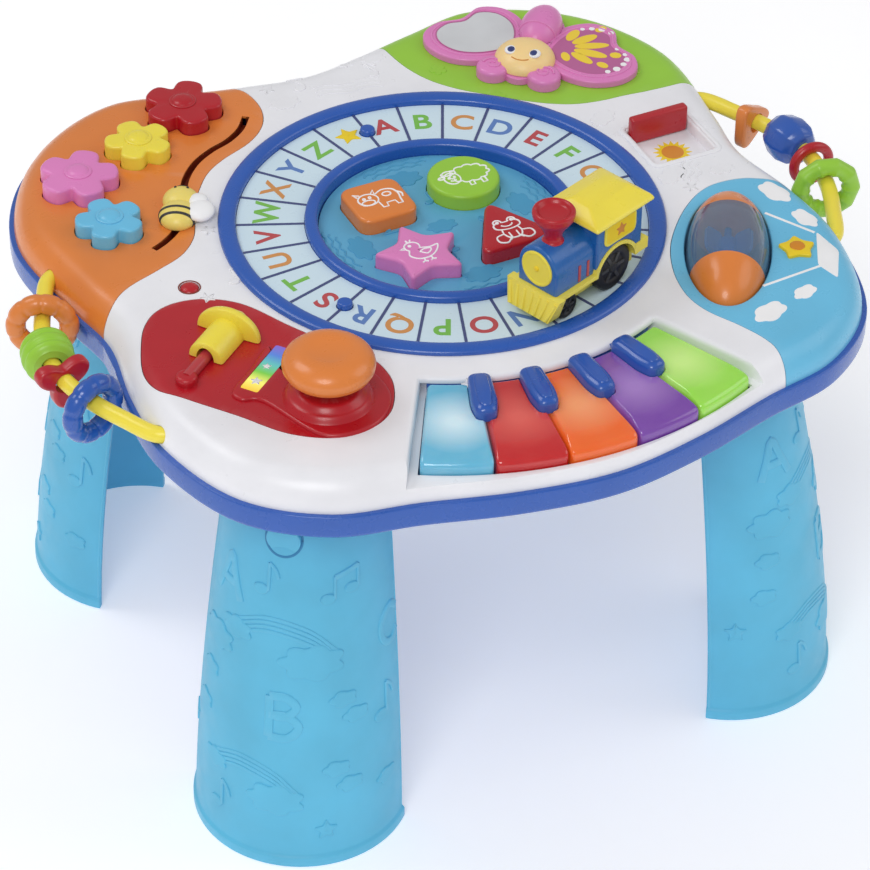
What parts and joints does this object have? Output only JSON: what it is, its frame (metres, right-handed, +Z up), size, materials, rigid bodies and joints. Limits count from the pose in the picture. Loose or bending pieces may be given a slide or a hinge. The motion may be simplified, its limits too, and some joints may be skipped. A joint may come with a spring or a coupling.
{
  "type": "musical activity table",
  "caption": "Standing activity table on curved legs, with a round track and rolling train, piano keys, shaped push buttons, sliders, a roller, a peek door and bead loops.",
  "frame": {"origin": "middle of the part's bounding box at floor level, on which the four feet stand", "axes": "+Z up, the piano faces -Y, the bead loops are on the -X and +X sides"},
  "size_m": [0.5808, 0.488, 0.3883],
  "materials": {
    "white": "satin",
    "rail_blue": "gloss",
    "leg_blue": "satin",
    "orange": "gloss",
    "green": "gloss",
    "sky_blue": "gloss",
    "red": "gloss",
    "yellow": "gloss",
    "pale_blue": "satin",
    "plate_blue": "satin",
    "pink": "gloss",
    "bright_blue": "gloss",
    "black": "matte",
    "peach": "satin",
    "mirror": "polished",
    "clear": "clear",
    "board": "matte",
    "window": "gloss",
    "key_light_blue": "gloss",
    "key_red": "gloss",
    "key_orange": "gloss",
    "key_purple": "gloss",
    "key_green": "gloss"
  },
  "bodies": {
    "table": {"top_shell": "white", "base_shell": "rail_blue", "orange_panel": "orange", "green_panel": "green", "blue_panel": "sky_blue", "red_panel": "red", "track_tray": "rail_blue", "letter_ring": "pale_blue", "center_plate": "plate_blue", "leg_front_left": "leg_blue", "leg_front_right": "leg_blue", "leg_back_right": "leg_blue", "leg_back_left": "leg_blue", "light_window": "window", "power_lamp": "red", "butterfly_wings": "pink", "butterfly_body": "pink", "butterfly_head": "peach", "wing_mirror": "mirror", "bead_bar_left": "yellow", "bead_bar_right": "yellow", "sharp_keys": "bright_blue", "battery_door": "rail_blue", "circuit_board": "board", "speaker": "black"},
    "flower_button_red": {"flower_button_red": "red"},
    "flower_button_yellow": {"flower_button_yellow": "yellow"},
    "flower_button_pink": {"flower_button_pink": "pink"},
    "flower_button_blue": {"flower_button_blue": "sky_blue"},
    "animal_button_cow": {"animal_button_cow": "orange"},
    "animal_button_sheep": {"animal_button_sheep": "green"},
    "animal_button_chick": {"animal_button_chick": "pink"},
    "animal_button_frog": {"animal_button_frog": "red"},
    "track_switches": {"track_switches": "rail_blue"},
    "piano_key_light_blue": {"piano_key_light_blue": "key_light_blue"},
    "piano_key_red": {"piano_key_red": "key_red"},
    "piano_key_orange": {"piano_key_orange": "key_orange"},
    "piano_key_purple": {"piano_key_purple": "key_purple"},
    "piano_key_green": {"piano_key_green": "key_green"},
    "bee_slider": {"bee_slider": "yellow"},
    "arrow_slider": {"arrow_slider": "yellow"},
    "lever_knob": {"lever_knob": "orange"},
    "peek_door": {"peek_door": "red"},
    "egg_roller": {"egg_ends": "orange", "egg_window": "clear"},
    "power_switch": {"power_switch": "black"},
    "bead_left_orange_ring": {"bead_left_orange_ring": "orange"},
    "bead_left_green_ribbed": {"bead_left_green_ribbed": "green"},
    "bead_left_red_lobed": {"bead_left_red_lobed": "red"},
    "bead_left_blue_ring": {"bead_left_blue_ring": "bright_blue"},
    "bead_right_orange_triangle": {"bead_right_orange_triangle": "orange"},
    "bead_right_blue_barrel": {"bead_right_blue_barrel": "bright_blue"},
    "bead_right_red_thin": {"bead_right_red_thin": "red"},
    "bead_right_green_ring": {"bead_right_green_ring": "green"},
    "train": {"train_chassis": "yellow", "train_body": "bright_blue", "train_roof": "yellow", "train_chimney": "red"},
    "train_front_axle": {"train_front_axle": "black"},
    "train_rear_axle": {"train_rear_axle": "black"}
  },
  "joints": [
    {"name": "flower_button_red_press", "type": "slide", "parent": "table", "child": "flower_button_red", "axis": [0, 0, 1], "range_m": [-0.004, 0], "stiffness_N_per_m": 300, "springref_m": 0.004},
    {"name": "flower_button_yellow_press", "type": "slide", "parent": "table", "child": "flower_button_yellow", "axis": [0, 0, 1], "range_m": [-0.004, 0], "stiffness_N_per_m": 300, "springref_m": 0.004},
    {"name": "flower_button_pink_press", "type": "slide", "parent": "table", "child": "flower_button_pink", "axis": [0, 0, 1], "range_m": [-0.004, 0], "stiffness_N_per_m": 300, "springref_m": 0.004},
    {"name": "flower_button_blue_press", "type": "slide", "parent": "table", "child": "flower_button_blue", "axis": [0, 0, 1], "range_m": [-0.004, 0], "stiffness_N_per_m": 300, "springref_m": 0.004},
    {"name": "animal_button_cow_press", "type": "slide", "parent": "table", "child": "animal_button_cow", "axis": [0, 0, 1], "range_m": [-0.004, 0], "stiffness_N_per_m": 300, "springref_m": 0.004},
    {"name": "animal_button_sheep_press", "type": "slide", "parent": "table", "child": "animal_button_sheep", "axis": [0, 0, 1], "range_m": [-0.004, 0], "stiffness_N_per_m": 300, "springref_m": 0.004},
    {"name": "animal_button_chick_press", "type": "slide", "parent": "table", "child": "animal_button_chick", "axis": [0, 0, 1], "range_m": [-0.004, 0], "stiffness_N_per_m": 300, "springref_m": 0.004},
    {"name": "animal_button_frog_press", "type": "slide", "parent": "table", "child": "animal_button_frog", "axis": [0, 0, 1], "range_m": [-0.004, 0], "stiffness_N_per_m": 300, "springref_m": 0.004},
    {"name": "track_switches_press", "type": "slide", "parent": "table", "child": "track_switches", "axis": [0, 0, 1], "range_m": [-0.0025, 0], "stiffness_N_per_m": 400, "springref_m": 0.004},
    {"name": "piano_key_light_blue_press", "type": "hinge", "parent": "table", "child": "piano_key_light_blue", "pos_m": [-0.06425, -0.14447, 0.305], "axis": [0.91, -0.4147, 0], "range_deg": [0, 3], "stiffness_Nm_per_rad": 0.8, "springref_deg": -3.44},
    {"name": "piano_key_red_press", "type": "hinge", "parent": "table", "child": "piano_key_red", "pos_m": [-0.03333, -0.15516, 0.305], "axis": [0.9718, -0.236, 0], "range_deg": [0, 3], "stiffness_Nm_per_rad": 0.8, "springref_deg": -3.44},
    {"name": "piano_key_orange_press", "type": "hinge", "parent": "table", "child": "piano_key_orange", "pos_m": [-0.00096, -0.15984, 0.305], "axis": [0.9988, -0.0489, 0], "range_deg": [0, 3], "stiffness_Nm_per_rad": 0.8, "springref_deg": -3.44},
    {"name": "piano_key_purple_press", "type": "hinge", "parent": "table", "child": "piano_key_purple", "pos_m": [0.03172, -0.15834, 0.305], "axis": [0.9901, 0.14, 0], "range_deg": [0, 3], "stiffness_Nm_per_rad": 0.8, "springref_deg": -3.44},
    {"name": "piano_key_green_press", "type": "hinge", "parent": "table", "child": "piano_key_green", "pos_m": [0.06353, -0.15072, 0.305], "axis": [0.9461, 0.3239, 0], "range_deg": [0, 3], "stiffness_Nm_per_rad": 0.8, "springref_deg": -3.44},
    {"name": "bee_slide", "type": "slide", "parent": "table", "child": "bee_slider", "axis": [0.5, 0.866, 0], "range_m": [-0.012, 0.03]},
    {"name": "arrow_slide", "type": "slide", "parent": "table", "child": "arrow_slider", "axis": [0.7934, 0.6088, 0], "range_m": [-0.016, 0]},
    {"name": "lever_tilt", "type": "hinge", "parent": "table", "child": "lever_knob", "pos_m": [-0.13997, -0.12604, 0.315], "axis": [-0.6088, 0.7934, 0], "range_deg": [-12, 12], "stiffness_Nm_per_rad": 0.06},
    {"name": "peek_door_slide", "type": "slide", "parent": "table", "child": "peek_door", "axis": [0, -1, 0], "range_m": [0, 0.03]},
    {"name": "egg_spin", "type": "hinge", "parent": "table", "child": "egg_roller", "pos_m": [0.15999, -0.0945, 0.308], "axis": [0.5075, 0.8616, 0], "continuous": true},
    {"name": "power_slide", "type": "slide", "parent": "table", "child": "power_switch", "axis": [1, 0, 0], "range_m": [-0.004, 0.004]},
    {"name": "bead_left_orange_ring_turn", "type": "hinge", "parent": "table", "child": "bead_left_orange_ring", "pos_m": [-0.26029, 0.04494, 0.298], "axis": [-0.4105, -0.9119, 0], "range_deg": [-120, 12]},
    {"name": "bead_left_green_ribbed_turn", "type": "hinge", "parent": "table", "child": "bead_left_green_ribbed", "pos_m": [-0.27139, 0.00869, 0.298], "axis": [-0.1449, -0.9894, 0], "continuous": true},
    {"name": "bead_left_red_lobed_turn", "type": "hinge", "parent": "table", "child": "bead_left_red_lobed", "pos_m": [-0.27192, -0.01659, 0.298], "axis": [0.1073, -0.9942, 0], "continuous": true},
    {"name": "bead_left_blue_ring_turn", "type": "hinge", "parent": "table", "child": "bead_left_blue_ring", "pos_m": [-0.26429, -0.04725, 0.298], "axis": [0.3494, -0.937, 0], "range_deg": [-120, 12]},
    {"name": "bead_right_orange_triangle_turn", "type": "hinge", "parent": "table", "child": "bead_right_orange_triangle", "pos_m": [0.2604, 0.04686, 0.298], "axis": [0.4203, -0.9074, 0], "continuous": true},
    {"name": "bead_right_blue_barrel_turn", "type": "hinge", "parent": "table", "child": "bead_right_blue_barrel", "pos_m": [0.27129, 0.01493, 0.298], "axis": [0.1964, -0.9805, 0], "continuous": true},
    {"name": "bead_right_red_thin_turn", "type": "hinge", "parent": "table", "child": "bead_right_red_thin", "pos_m": [0.27334, -0.01132, 0.298], "axis": [-0.0561, -0.9984, 0], "continuous": true},
    {"name": "bead_right_green_ring_turn", "type": "hinge", "parent": "table", "child": "bead_right_green_ring", "pos_m": [0.26806, -0.03927, 0.298], "axis": [-0.3054, -0.9522, 0], "continuous": true},
    {"name": "train_run", "type": "hinge", "parent": "table", "child": "train", "pos_m": [0.00749, 0.01296, 0.314], "axis": [0, 0, 1], "continuous": true},
    {"name": "train_front_axle_spin", "type": "hinge", "parent": "train", "child": "train_front_axle", "pos_m": [0.02609, -0.09961, 0.3223], "axis": [0.3502, -0.9367, 0], "continuous": true},
    {"name": "train_rear_axle_spin", "type": "hinge", "parent": "train", "child": "train_rear_axle", "pos_m": [0.06637, -0.08455, 0.3298], "axis": [0.3502, -0.9367, 0], "continuous": true}
  ],
  "couplings": [
    {"joint": "train_front_axle_spin", "follows": "train_run", "ratio": -12.439},
    {"joint": "train_rear_axle_spin", "follows": "train_run", "ratio": -6.7848}
  ]
}
